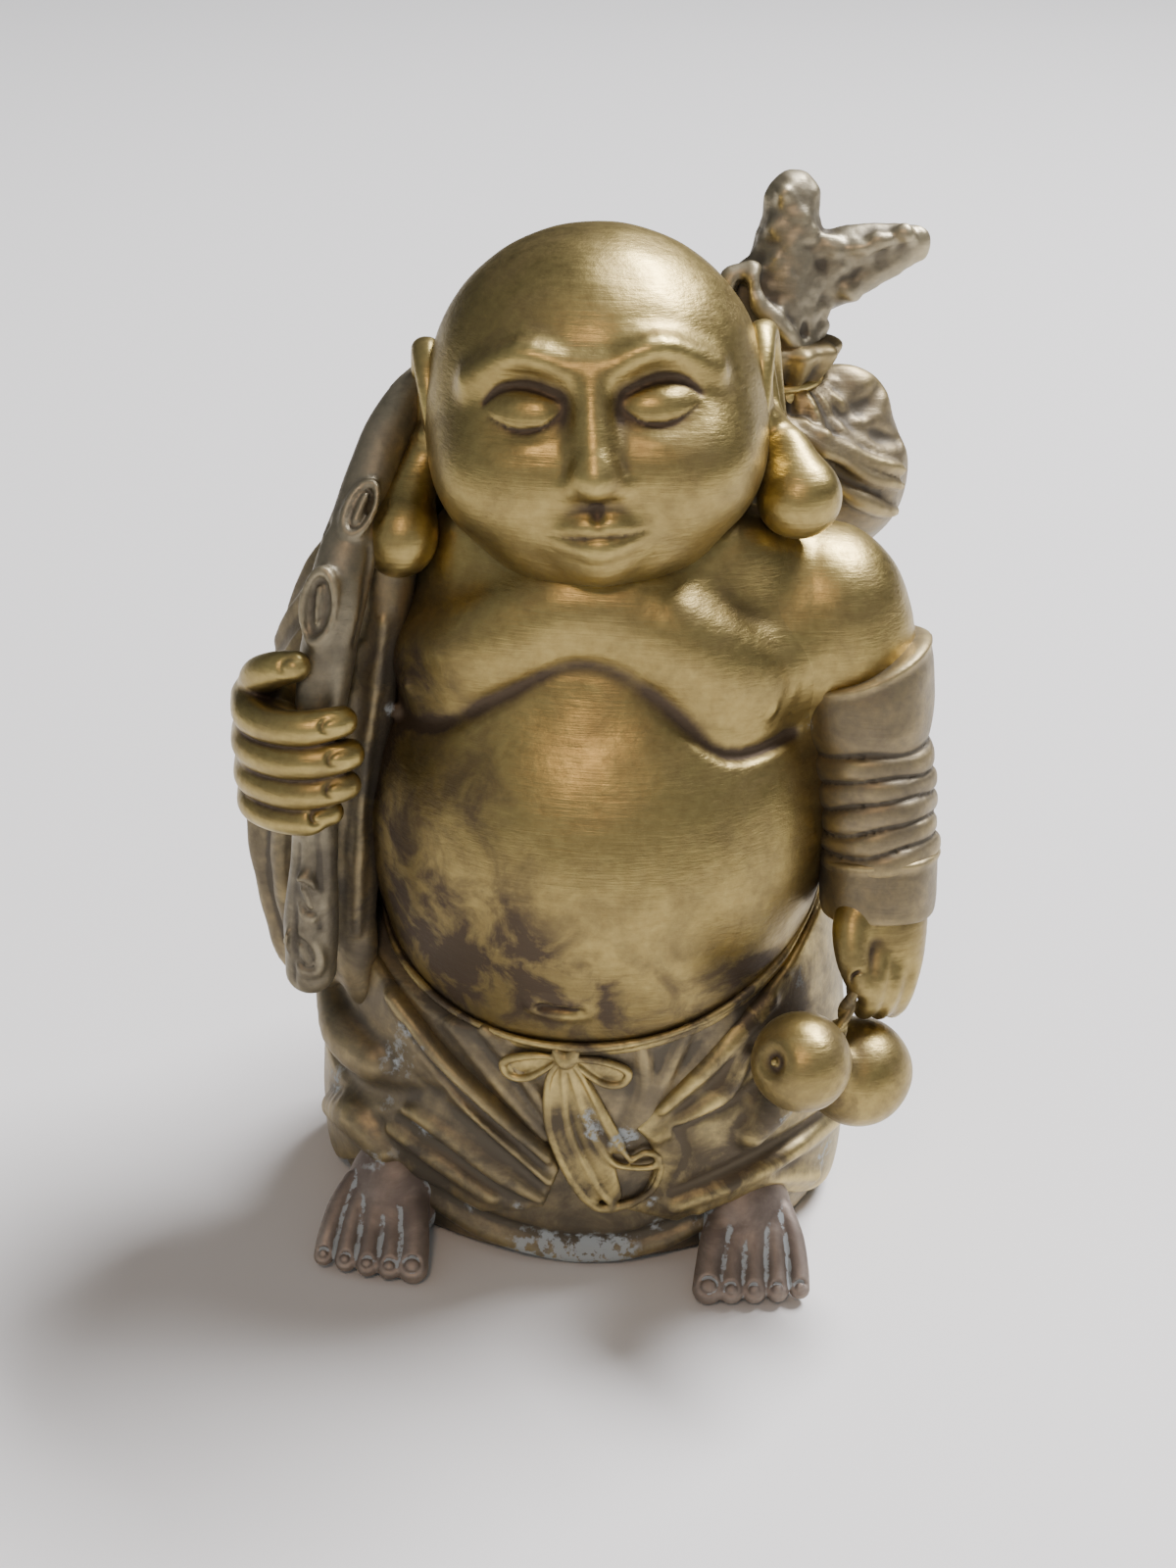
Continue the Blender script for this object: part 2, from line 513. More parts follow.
def hand_right():
    clay = Clay(at(-56, -36, 72), at(-30, -6, 106), 0.35)
    clay.add(limb(route((-45, -7, 82, 6.4), (-47, -13, 84.5, 6.8))))
    clay.add(egg(at(-47, -20, 87), (4.6, 8, 9.6), turned(0, -6, -14)), 4)
    clay.add(egg(at(-44, -26.5, 87), (4.6, 4.2, 8.6)), 3)
    # Four fingers wrap the staff from the back of the hand, each with a knuckle and a nail
    for z, thick, tip in ((93.6, 2.6, -34.6), (88.4, 2.75, -33.8), (83.4, 2.6, -34.2), (78.8, 2.3, -36.6)):
        bend = 0.5 * (z - 86) / 8
        clay.add(limb(route((-50.2, -20, z + bend - 1, thick), (-48.6, -26, z - 0.6, thick * 1.06),
            (-44.6, -30.2, z - 0.2, thick * 0.98), (-40, -31.8, z + 0.5, thick),
            (tip - 1.6, -31.4, z + 1.2, thick * 0.92), (tip, -30.6, z + 1.4, thick * 0.84))), 0.55)
        nail = at(tip - 0.6, -31.4, z + 1.2) + [0, -thick * 0.78, thick * 0.34]
        clay.cut(loop(nail, (1.8, 0.2, 0.1), (0, 0.5, 1.1), 0.34), 0.4)
    clay.add(limb(route((-49, -18, 93, 3.2), (-47.8, -22.6, 97.4, 2.9), (-44.8, -25.4, 100, 2.7),
        (-42, -26.6, 101.2, 2.3))), 0.9)
    clay.cut(loop(at(-42.2, -28.5, 102.2), (1.5, -0.2, 0.2), (0, 0.7, 1.1), 0.34), 0.4)
    return {"hand_right": clay}


def staff():
    clay = Clay(at(-48, -35, 45), at(26, 31, 149), 0.5)
    clay.add(limb(route((-40.6, -28, 51.5, 3.9), (-40.4, -28, 60, 4.1), (-39.8, -27.4, 70, 3.5),
        (-39.4, -26.4, 80, 3.3), (-38.8, -25, 92, 3.6), (-37.8, -22, 103, 4.1), (-36.6, -18.6, 111, 4.4),
        (-34.6, -12.4, 119, 3.9), (-32.2, -5, 127, 3.7), (-28.4, 3, 132.6, 3.6),
        (-21, 13, 136, 3.6), (-9, 20.8, 138.4, 3.8), (5, 23.4, 140, 3.8), (18, 24, 142, 4.2))))
    # Cut twigs have left eye-shaped scars, each a raised lip round a hollow with a rib in it
    scars = [((-38.9, -24, 109.6), (2.3, -0.6, 0.4), (0.5, 1.6, 4.9), (0.12, -0.9, 0.3)),
        ((-33.8, -16, 121.6), (1.8, -0.5, -0.2), (1.2, 2.4, 3), (-0.1, -0.85, 0.45)),
        ((-40.2, -31.4, 66), (1.7, 0, 0.5), (-1.1, 0, 3.2), (0, -1, 0)),
        ((-41, -31.7, 56.6), (1.7, 0, 0.9), (-1.7, 0, 3.2), (0, -1, 0)),
        ((-12, 24.4, 139.6), (3, 1.2, 0.6), (0, 0, 2.2), (0, 1, 0.2))]
    for middle, across, along, out in scars:
        spot, out = at(*middle), np.array(out)
        clay.add(loop(spot, across, along, 0.6), 1.4)
        clay.cut(loop(spot + out * 0.5, np.array(across) * 0.6, np.array(along) * 0.68, 0.45), 0.9)
        rib = [[*(spot + np.array(along) * t + out * 0.25), 0.4] for t in (-0.5, 0, 0.5)]
        clay.add(limb(rib), 0.7)
    # Long furrows in the bark
    for x0, y0, z0, x1, y1, z1 in ((-42.6, -31, 74, -42.8, -31, 50.5), (-38.4, -31.2, 76, -38.2, -31.6, 61),
            (-40.5, -21.6, 104, -37.4, -15, 118),
            (-34.6, -22.6, 104, -32.8, -17.6, 116),
            (-35.4, -9, 122, -30.6, 1.2, 132), (-16, 20, 140.8, 14, 26.6, 143.6),
            (-20, 17.6, 137, 0, 26.8, 139.6)):
        furrow = rest_on(clay, (x0, y0, z0, 0.3), ((x0 + x1) / 2 + 0.5, (y0 + y1) / 2, (z0 + z1) / 2, 0.6),
            (x1, y1, z1, 0.3))
        clay.cut(limb(furrow, 1), 1.2)
    clay.rumple(9, 0.12, SEED)
    return {"staff": clay}


def staff_fork():
    clay = Clay(at(10, 13, 128), at(49, 33, 166), 0.38)
    clay.add(limb(route((24.6, 22.6, 134, 5.4), (24.6, 23.6, 142, 6.2), (24.8, 25, 149, 5.4),
        (25.2, 26, 156, 4.2), (25.4, 26.4, 158.6, 3.9))))
    # The right prong is a deep plank that was cut off on the slant
    clay.add(limb(route((26, 25, 147, 6.4), (32, 25.4, 148.4, 6), (38, 25.8, 150.6, 4.6),
              (43.4, 26, 152.4, 2.9)), 5, (0, 1, 0), 0.7), 2.2)
    clay.add(limb(route((28, 22.4, 151.6, 1), (35, 22.6, 152, 1.2), (42, 24, 154, 1.2))), 1.2)
    clay.cut(limb(route((33.6, 20.2, 147, 1.6), (38, 21, 149.4, 2), (42.4, 22.6, 151.6, 1.2))), 0.9)
    # A curled leaf of bark on the left, over the socket that the sack's neck comes up to
    clay.add(egg(at(19.4, 23, 143), (5.2, 5, 6.4), turned(0, 22)), 1.6)
    clay.add(limb(route((19.6, 19, 149, 1.4), (16.4, 18.6, 147.8, 1.6), (16.2, 17.8, 143, 1.6),
        (19, 17, 138.6, 1.3))), 0.9)
    clay.add(limb(route((19.8, 17.8, 148.4, 1), (21, 16.8, 144.6, 1.4), (24.4, 16.8, 141.4, 1.5),
        (26.6, 17.6, 139, 1.2))), 0.9)
    clay.add(egg(at(25.4, 22.4, 137), (6, 5.8, 4.6)), 1.2)
    clay.add(ball(at(30.4, 22.6, 140), 1.7), 1)
    # The slit at the crotch, furrows and knobs of the bark
    clay.cut(limb(route((21.6, 18.8, 148.6, 0.8), (24.2, 18, 150.2, 1.25), (27.2, 18.4, 151.4, 0.9))), 0.7)
    clay.cut(limb(route((18.2, 17, 147.2, 0.6), (18.6, 16.2, 142.6, 0.9), (21, 16, 138.6, 0.5))), 0.8)
    clay.cut(limb(route((27.4, 17.8, 146.6, 0.4), (28.8, 18.4, 143, 0.7), (28.2, 18.6, 140, 0.4))), 1)
    for x, z, r in ((23.6, 160, 1.2), (27, 157, 1), (28.6, 154.2, 1.1), (32, 155, 0.9), (38, 156.4, 0.9),
            (43, 156.6, 1),
            (35, 145, 1.2), (31, 142.6, 1), (22.6, 154.6, 0.9)):
        spot = rest_on(clay, (x, 21.6, z, 1), (x + 0.5, 21.6, z, 1), out=-0.35 * r)[0, :3]
        clay.add(egg(spot, (r * 1.3, r, r * 0.9), turned(0, 30 * r)), 1.6)
    clay.rumple(5, 0.16, SEED).rumple(2.4, 0.05, SEED + 1)
    clay.trim(at(25.4, 26.4, 162.6), (0.15, -0.1, 1), 0.8)
    return {"staff_fork": clay}


def sack():
    folds = [(0.4, 13, 0.0), (0.9, 9, 1.3), (0.7, 21, 0.5)]

    def ripple(angle, z, x):
        gather = np.clip((z - 66 * TALL) / (62 * TALL), 0, 1) ** 1.6
        total = sum(a * np.sin(n * angle + p + 0.03 * z) for a, n, p in folds)
        return total * (0.25 + gather) * 0.75

    clay = Clay(at(-12, 14, 60), at(49, 47, 136), 0.6)
    # Slack folds low down the back follow the sack's own roundness, not its gathers
    clay.add(column(SACK, None, -1.5))
    slack = [rest_on(clay, (x0, 40, z0, 0.2), (x0 * 0.7 + x1 * 0.3, 45, z0 * 0.7 + z1 * 0.3 - 2, 1.5),
                ((x0 + x1) / 2, 46, (z0 + z1) / 2 - 3, 1.8), (x1, 44, z1, 0.2), out=1.0)
        for x0, z0, x1, z1 in ((-4, 84, 18, 73), (36, 90, 14, 79), (-6, 98, 12, 88),
                               (38, 102, 24, 92))]
    clay.add(column(SACK, ripple))
    for path in slack:
        clay.add(limb(path, 1), 5)
    # The cloth that shows past the shoulder, with three folds drawn up to the mouth
    clay.add(egg(at(35, 25, 126), (7.6, 4.6, 7.4), turned(0, 34)), 4)
    clay.add(egg(at(39.6, 25, 116.4), (6.2, 7, 8.4), turned(0, -8)), 5)
    clay.add(limb(route((28, 19, 124, 5), (34, 20, 119, 5.4), (38, 21, 114, 4.8))), 4)
    for drop, r in ((0, 1.2), (2.6, 1.1), (7, 1.3)):
        clay.add(limb(rest_on(clay, (21, 12, 132 - drop, r * 0.9), (27, 12, 129 - drop, r),
            (34, 13, 125 - drop, r),
            (40, 16, 121.4 - drop, r), (45, 20, 118.6 - drop, r * 0.6), out=0.35), 1), 0.6)
    clay.cut(limb(rest_on(clay, (45.6, 22, 123.4, 0.8), (40.4, 19.6, 124.4, 0.9), (36, 18.6, 126, 0.4)),
        1), 1.6)
    clay.cut(limb(rest_on(clay, (41.6, 24, 131, 0.7), (37.6, 20.6, 128, 0.9), (33, 19, 127.2, 0.5)), 1), 2)
    # A seam down the middle of the back
    clay.cut(limb(rest_on(clay, (24, 40, 120, 0.3), (18, 45, 104, 0.45), (14, 46, 86, 0.45),
        (13, 42, 70, 0.3)), 1), 0.8)
    clay.rumple(12, 0.25, SEED)
    return {"sack": clay}


def sack_neck():
    def ripple(angle, z, x):
        return 0.55 * np.sin(9 * angle) * np.clip((z - 128 * TALL) / 6, 0, 1)

    clay = Clay(at(14, 12, 122), at(37, 34, 141), 0.4)
    clay.add(column([(124, 25.5, 24, 6, 6, 6), (128, 25.5, 23.4, 5.6, 5.6, 5.6),
        (131, 25.5, 23, 5.3, 5.3, 5.3), (134.5, 25.8, 22.6, 7, 7, 7), (137, 26, 22.5, 8, 8, 8),
        (138.4, 26, 22.5, 7.4, 7.4, 7.4)], ripple))
    return {"sack_neck": clay}


def sack_tie():
    clay = Clay(at(16, 13, 127), at(35, 33, 134), 0.3)
    for k in (-1, 0, 1):
        rows = [[*(at(25.5, 23, 130.5) + [5.7 * math.cos(a), 5.7 * math.sin(a),
            1.15 * k + 0.5 * math.sin(a + k)]), 0.72]
            for a in np.linspace(0, 2 * math.pi, 33)]
        clay.add(limb(rows, 1))
    return {"sack_tie": clay}


def robe_back():
    folds = [(0.55, 11, 0.4, 0.020), (0.3, 17, 1.1, -0.03), (0.2, 27, 2.2, 0.05)]

    def ripple(angle, z, x):
        total = sum(a * np.sin(n * angle + p + k * z) for a, n, p, k in folds)
        return total * (0.45 + 0.55 * np.clip(1 - z / (110 * TALL), 0, 1))

    clay = Clay(at(-48, 0, 0), at(48, 36, 137), 0.75)
    # Big folds that fall from the shoulders and sweep across under the sack, laid on the plain back
    clay.add(column(ROBE, None, -1.5))
    sweeps = [rest_on(clay, *rows, out=0.7) for rows in (
        ((-30, 18, 114, 0.2), (-29, 23, 102, 1.6), (-24, 28, 86, 2.6), (-13, 32, 64, 3),
         (3, 34, 44, 2.4), (20, 32, 28, 0.3)),
        ((-34, 12, 106, 0.2), (-34, 19, 88, 2), (-27, 27, 60, 2.8), (-13, 32, 36, 2.6),
         (2, 32.6, 20, 0.3)),
        ((-38, 8, 88, 0.2), (-37.6, 14, 66, 2.2), (-35.6, 20, 40, 2.6), (-28, 25.6, 14, 0.6)),
        ((34, 12, 100, 0.2), (34.6, 17, 78, 2.2), (36.6, 18, 48, 2.6), (38.6, 15, 16, 0.6)),
        ((20, 27, 70, 0.2), (24, 28, 52, 2), (27, 27, 30, 2.4), (26, 26, 8, 0.6)),
        ((2, 30, 60, 0.2), (9, 32, 42, 1.8), (12, 32, 22, 1.8), (11, 31, 6, 0.4)),
        ((-16, 22, 124, 0.2), (-14, 26, 112, 1.8), (-5, 29, 98, 1.8), (6, 31, 88, 0.3)))]
    clay.add(column(ROBE, ripple))
    for path in sweeps:
        clay.add(limb(path, 1), 5)
    clay.trim(at(0, 1, 0), (0, -1, 0))
    hem = rest_on(clay, (-41, 3, 3, 1), (-36, 15, 3, 1), (-22, 26, 3, 1), (0, 30, 3, 1), (22, 26, 3, 1),
        (36, 15, 3, 1), (41, 3, 3, 1))
    clay.add(limb(hem, 1), 1.6)
    # The collar is a rolled edge that stands up beside the neck
    clay.add(limb(route((-27.4, 2, 127, 1.6), (-26.6, 6, 131.4, 2), (-21.6, 13, 133.6, 2),
        (-12, 17.6, 132.6, 1.8), (0, 18.6, 128, 1.6), (10, 17, 121, 1.4))), 1.6)
    clay.trim(at(0, 0, 0), (0, 0, -1), 0.2)
    return {"robe_back": clay}


def sleeve_right():
    def ripple(angle, z, x):
        return 0.5 * np.sin(7 * angle + 0.05 * z) * np.clip(1 - (z - 40 * TALL) / (70 * TALL), 0.2, 1)

    clay = Clay(at(-56, -31, 36), at(-24, 17, 133), 0.5)
    clay.add(column(SLEEVE, ripple))
    # The robe's front edge falls from the shoulder between the staff and the belly
    clay.add(limb(route((-30, -11, 113, 3.6), (-31.6, -13.4, 102, 4), (-34, -14.6, 88, 4.2),
        (-35.6, -15.6, 74, 4.2), (-36, -17, 60, 4), (-35.6, -18.2, 50, 3.4), (-34.8, -17.6, 42, 2.4),
        (-34.4, -15, 37, 1)), 6), 3)
    for rows in (((-31, -15, 104, 0.5), (-33.4, -18.2, 84, 0.7), (-34.6, -19.4, 68, 0.8),
             (-35, -20.8, 54, 0.6)),
            ((-33.6, -15.6, 100, 0.5), (-36.4, -18.2, 84, 0.7), (-37.6, -19.2, 68, 0.8),
             (-38, -20.6, 52, 0.6))):
        clay.add(limb(rest_on(clay, *rows), 1), 1.4)
    # Folds that hang from the forearm to the point of the sleeve
    for rows in (((-50, -10, 78, 1), (-50.6, -12, 64, 1.4), (-47, -14.6, 52, 1.4), (-42.4, -15.6, 43.6, 1)),
            ((-46, -17, 76, 0.9), (-46.4, -17.4, 62, 1.2), (-44, -17.4, 50, 1)),
            ((-49, 2, 84, 1), (-52, 0, 70, 1.5), (-50, -4, 56, 1.2)),
            ((-42, -13, 106, 1), (-46, -12, 98, 1.4), (-50.4, -10, 90, 1.2)),
            ((-36, -10, 116, 0.9), (-41, -6, 106, 1.4), (-47, -3, 94, 1.2)),
            ((-30, 2, 126, 0.4), (-37, 3, 116, 1.4), (-44, 2, 104, 1.4), (-49, 0, 92, 0.6)),
            ((-46, 9, 96, 0.4), (-50, 8, 80, 1.4), (-49, 5, 64, 1.2), (-45, 0, 50, 0.6))):
        clay.add(limb(rest_on(clay, *rows, out=-0.1), 1), 2)
    for rows in (((-48.6, -14.4, 78, 0.4), (-48.6, -15.4, 64, 0.6), (-45.4, -16.6, 50, 0.4)),
            ((-42.6, -16.4, 104, 0.4), (-47, -14.6, 96, 0.6), (-49.6, -11, 86, 0.4))):
        clay.cut(limb(rest_on(clay, *rows), 1), 1.4)
    clay.rumple(10, 0.2, SEED)
    return {"sleeve_right": clay}


def banded(top, bottom, widths, edges, step, slant, twist=0.0):
    """Turned-back cloth round an arm, in rolls between the edges; its top rim slants down inwards."""
    top, bottom = at(*top), at(*bottom)
    length = np.linalg.norm(bottom - top)
    way = (bottom - top) / length
    inner = np.cross([0, 1, 0], way)
    inner /= np.linalg.norm(inner)
    rear = np.cross(way, inner)
    edges = np.array(edges)

    def distance(x, y, z):
        dx, dy, dz = x - top[0], y - top[1], z - top[2]
        s = dx * way[0] + dy * way[1] + dz * way[2]
        u = dx * inner[0] + dy * inner[1] + dz * inner[2]
        v = dx * rear[0] + dy * rear[1] + dz * rear[2]
        angle = np.arctan2(v, u)
        fade = np.clip(1 - s / 15, 0.12, 1)
        drop = s - slant * fade * np.cos(angle + math.radians(50)) + twist * np.sin(2 * angle + s * 0.24)
        k = np.clip(np.searchsorted(edges, drop, side="right") - 1, 0, len(edges) - 2)
        part = np.clip((drop - edges[k]) / (edges[k + 1] - edges[k]), 0, 1)
        size = np.minimum(edges[k + 1] - edges[k], 5) / 5
        roll = step * size * (1 - np.abs(2 * part - 1) ** 3) + 0.35 * size * (1 - part)
        lip = 0.7 * np.exp(-((drop - edges[0] - 0.7) / 0.8) ** 2)
        radius = np.interp(s, (0, 0.45 * length, length),
            widths) + roll + lip + 0.18 * np.sin(5 * angle + 2.1 * k)
        ends = np.maximum(edges[0] - drop, drop - edges[-1])
        return -melt(-(np.hypot(u, v) - radius) * 0.85, -ends, 0.8)

    low, high = np.minimum(top, bottom) - widths[0] - 4, np.maximum(top, bottom) + widths[0] + 4
    return low, high, distance


def sleeve_left():
    clay = Clay(at(28, -30, 60), at(58, 12, 110), 0.4)
    clay.add(banded((39.6, -5.6, 98.6), (44.8, -14, 67.4), (9.3, 8.6, 8.2),
        (0, 13.8, 17.6, 21.2, 25, 28.4, 32), 1.1, 3.6, 0.5))
    # Two short folds that start in the crook and die out on the rolls
    for a, b, c in (((36, -14, 84, 0.5), (41, -17.6, 81.4, 0.8), (47, -17.4, 80.6, 0.4)),
            ((36.6, -16, 77, 0.4), (41.6, -18.8, 75, 0.7), (48, -18.2, 74.4, 0.4))):
        clay.add(limb(route(a, b, c)), 1)
    return {"sleeve_left": clay}


def cuff_left():
    clay = Clay(at(28, -32, 52), at(60, 4, 80), 0.4)
    clay.add(banded((44.3, -13.2, 70), (44.9, -16.4, 59.8), (8.2, 8.2, 8.4), (0, 10.3), 0.5, 0.6))
    clay.cut(limb(route((40.8, -24.8, 68.6, 0.3), (40.4, -25.4, 64.4, 0.45))), 0.6)
    return {"cuff_left": clay}


def hand_left():
    clay = Clay(at(32, -34, 42), at(56, -8, 72), 0.35)
    # The back of the hand, the thumb down its front, and the fingers closed on the cord
    clay.add(limb(route((44.4, -15, 66, 7), (45.6, -17.4, 60, 6.8), (46.8, -19.8, 54, 5),
        (46.4, -22, 49.6, 3))))
    clay.add(limb(route((41.6, -19.4, 64, 3), (40.6, -22.6, 61.4, 2.9), (41, -25, 57.6, 2.6),
        (42.4, -26.2, 53.8, 2.1))), 2)
    for x, y, z in ((44.4, -23.6, 55), (46.8, -22.2, 54.2), (49, -20.2, 53.4)):
        clay.add(limb(route((x + 0.4, y + 2.8, z + 4, 2.7), (x, y - 1.6, z - 0.6, 2.5),
            (x - 0.4, y - 1.8, z - 4.6, 2.1), (x - 0.8, y, z - 7.4, 1.7))), 0.8)
    clay.cut(ball(at(41.6, -24, 50.6), 2), 1.2)
    clay.cut(loop(at(42, -28, 55.2), (1.2, -0.2, 0.2), (0, 0.4, 1.5), 0.3), 0.3)
    return {"hand_left": clay}


def gourd():
    small = at(34, -36.5, 46)
    line = np.array([9.5, 11.5, -9.0])
    line /= np.linalg.norm(line)
    large = small + line * 17.2
    clay = Clay(np.minimum(small, large) - 10, np.maximum(small, large) + 10, 0.35)
    clay.add(ball(small, 7.5))
    clay.add(ball(large, 8.5))
    clay.add(limb([[*small, 3.4], [*large, 3.4]], 1), 1.6)
    # The blossom end is a small pit inside a raised ring
    pit = small + np.array([-0.62, -0.64, 0.38]) * 7.5
    clay.cut(ball(pit, 1.1), 3.4)
    clay.add(ball(pit * 0.9 + small * 0.1, 0.6), 0.8)
    return {"gourd": clay}


def gourd_cord():
    clay = Clay(at(33, -34, 38), at(48, -22, 58), 0.3)
    for turn in (0, 1):
        twist = [[*(at(38.6, -30.6, 43) * (1 - t) + at(41.6, -26.6, 53.6) * t
               + 0.55 * np.array([math.cos(9 * t + math.pi * turn), math.sin(9 * t + math.pi * turn),
                                  0])), 0.75]
            for t in np.linspace(0, 1, 17)]
        clay.add(limb(twist, 1))
    return {"gourd_cord": clay}


def skirt():
    def ripple(angle, z, x):
        return 0.3 * np.sin(9 * angle + 0.06 * z)

    clay = Clay(at(-46, -35, 0), at(46, 33, 80), 0.62)
    clay.add(column(SKIRT, ripple))
    clay.trim(WAIST, waist_normal)
    # Soft folds drop from the waist under the sash
    for a, b, c in (((-19, 43, 0.8), (-11, 34, 1.2), (-4, 26, 1)),
            ((-14, 44, 0.7), (-8, 37, 1), (-3.6, 30, 0.8)),
            ((10, 44, 0.7), (11, 36, 1), (9, 28, 0.8)),
            ((17, 46, 0.7), (14, 37, 1), (10.6, 29, 0.8)),
            ((24, 47, 0.7), (18, 38, 1), (12, 30, 0.8))):
        clay.add(limb(laid(skirt_table, a, b, c)), 1.6)
    # The under-hem between the feet, rolled where it meets the table
    hem = laid(skirt_table, (-24, 8, 0.9), (-14, 4.6, 1.4), (-4, 2.4, 1.5), (6, 2, 1.5), (15, 4.6, 1.4),
        (24, 8, 0.9))
    clay.add(limb(hem), 1.4)
    clay.cut(limb(laid(skirt_table, (-22, 10.6, 0.5), (-10, 7, 0.7), (3, 5, 0.7), (14, 7.4, 0.7),
        (22, 10.6, 0.5), out=0.3)), 1.4)
    # The recess for the base plate
    clay.cut(column([(-4, 0, -1, 37.3, 25.4, 24.4), (0, 0, -1, 37.3, 25.4, 24.4),
        (2, 0, -1, 37.3, 25.4, 24.4)]), 0)
    clay.trim(at(0, 0, 0), (0, 0, -1), 0.2)
    return {"skirt": clay}


def base_plate():
    clay = Clay(at(-40, -29, 0), at(40, 26, 3), 0.7)
    clay.add(column([(-2, 0, -1, 37, 25.1, 24.1), (0, 0, -1, 37, 25.1, 24.1),
        (3.5, 0, -1, 37, 25.1, 24.1)]))
    clay.trim(at(0, 0, 2), (0, 0, 1), 0.2)
    clay.trim(at(0, 0, 0.05), (0, 0, -1), 0.2)
    return {"base_plate": clay}


def panel(outline, folds, grooves, thickness, low, high):
    """A panel of cloth on the skirt inside an outline of x and z, with folds and furrows."""
    clay = Clay(low, high, 0.45)
    clay.add(column(SKIRT, None, thickness))
    for rows in folds:
        clay.add(limb(laid(skirt_table, *rows, out=thickness)), 1.8)
    for rows in grooves:
        clay.cut(limb(laid(skirt_table, *rows, out=thickness + 0.5)), 1.5)
    edge = np.array([[x * WIDE, z * TALL] for x, z in outline])
    x, z = clay.axes[0][:, None], clay.axes[2][None, :]
    nearest = np.full((len(clay.axes[0]), len(clay.axes[2])), FAR)
    within = np.zeros(nearest.shape, bool)
    for a, b in zip(edge, np.roll(edge, -1, axis=0)):
        way = b - a
        t = np.clip(((x - a[0]) * way[0] + (z - a[1]) * way[1]) / (way @ way), 0, 1)
        nearest = np.minimum(nearest, np.hypot(x - a[0] - way[0] * t, z - a[1] - way[1] * t))
        crosses = (a[1] > z) != (b[1] > z)
        if a[1] != b[1]:
            within ^= crosses & (x < a[0] + (z - a[1]) * way[0] / way[1])
    outside = np.where(within, -nearest, nearest)[:, None, :]
    clay.field = -melt(-clay.field, -np.broadcast_to(outside, clay.field.shape).astype(np.float32), 1.6)
    clay.trim(at(0, 2, 0), (0, 1, 0))
    clay.trim(WAIST + waist_normal * 0.4, waist_normal)
    inner_low, inner_high, distance = column(SKIRT)
    cut, where = clay.window(inner_low, inner_high, 0)
    clay.field[cut] = np.maximum(clay.field[cut], -(distance(*where) + 2.0))
    clay.trim(at(0, 0, 1), (0, 0, -1), 0.2)
    return clay


def robe_panels():
    right = panel(
        [(-47, 50), (-38, 51), (-31, 47.5), (-24.5, 42.6), (-12.6, 32.4), (-3, 24), (-1.5, 20), (-4, 12),
         (-14, 9),
         (-22, 11.6), (-29, 12.4), (-36, 8), (-40, 3), (-47, 2)],
        [((-28, 44.6, 1.1), (-20, 37.4, 1.6), (-10, 28.6, 1.5), (-3.6, 22.6, 1)),
         ((-22, 36.8, 0.9), (-15, 30, 1.3), (-7, 22.6, 1.2), (-2.4, 17.6, 0.9)),
         ((-27, 26, 1), (-20, 24, 1.5), (-11, 18.4, 1.5), (-4, 14.6, 1)),
         ((-28, 20.4, 1), (-20, 17.6, 1.4), (-12, 13.4, 1.2)),
         ((-40.5, 37, 2.4), (-36, 33, 4.2), (-31, 31.6, 3.6)),
         ((-38.6, 16, 2.4), (-34, 18.6, 3.8), (-29.6, 15.6, 2.6))],
        [((-41, 25.4, 0.8), (-35, 24.4, 1.5), (-29, 26, 1.9), (-23.4, 29.6, 1.1), (-20, 31, 0.5)),
         ((-25.6, 40.4, 0.5), (-17.6, 33, 0.9), (-8, 25, 0.8), (-3, 20, 0.5)),
         ((-24, 32, 0.5), (-16, 26.8, 0.8), (-8, 20.4, 0.8), (-3, 15.8, 0.5)),
         ((-27, 23, 0.5), (-19.6, 20.6, 0.8), (-11, 15.4, 0.8), (-5, 12.6, 0.5))],
        1.5, at(-47, -36, 0), at(1, 4, 62))
    left = panel(
        [(47, 60), (37, 60), (31, 52), (23.4, 45), (17, 37.6), (11.2, 30.6), (9.6, 28.4), (12, 25.4),
         (13.4, 21),
         (11.6, 15.6), (8.6, 12.6), (17, 9), (24.6, 11.6), (31, 12), (36, 7), (41, 3), (47, 2)],
        [((28.6, 48, 0.8), (20.6, 39.6, 1), (13.4, 32.6, 0.9)),
         ((25, 40, 1), (22.6, 34, 1.6), (16, 29.4, 1.2), (13, 27, 0.8)),
         ((34, 38, 2.2), (31, 31, 3.8), (27, 25, 2.6)),
         ((40.6, 17, 1.2), (33, 17.8, 1.6), (24, 15.4, 1.5), (16, 13, 1)),
         ((38, 9, 1), (30, 14.4, 1.2), (20, 11.6, 1))],
        [((29.4, 36, 0.6), (24.8, 31.6, 1.1), (20.6, 29.8, 0.9), (15.4, 28.6, 0.5)),
         ((40, 20.6, 0.7), (32, 20.8, 1), (23, 18.4, 0.9), (15.6, 16, 0.5)),
         ((16.4, 27.6, 0.5), (17.6, 22.6, 0.8), (15.6, 17.6, 0.5))],
        1.5, at(4, -36, 0), at(47, 4, 72))
    return {"robe_panel_right": right, "robe_panel_left": left}


def waist_cord():
    clay = Clay(at(-38, -37, 38), at(40, 3, 70), 0.35)
    # The trouser top is turned out to a thin worn rim, with a shallow roll under it
    rim = [[*(waist_spot(a, 0.8) + waist_normal * 0.5), 0.62 + 0.1 * math.sin(7 * a)]
        for a in np.linspace(math.radians(178), math.radians(362), 61)]
    roll = [[*(waist_spot(a, 0.5) - waist_normal * 1.2), 0.8] for a in np.linspace(math.radians(178),
        math.radians(362), 61)]
    clay.add(limb(rim, 1))
    clay.add(limb(roll, 1), 1)
    clay.trim(at(0, 1, 0), (0, 1, 0))
    return {"waist_cord": clay}


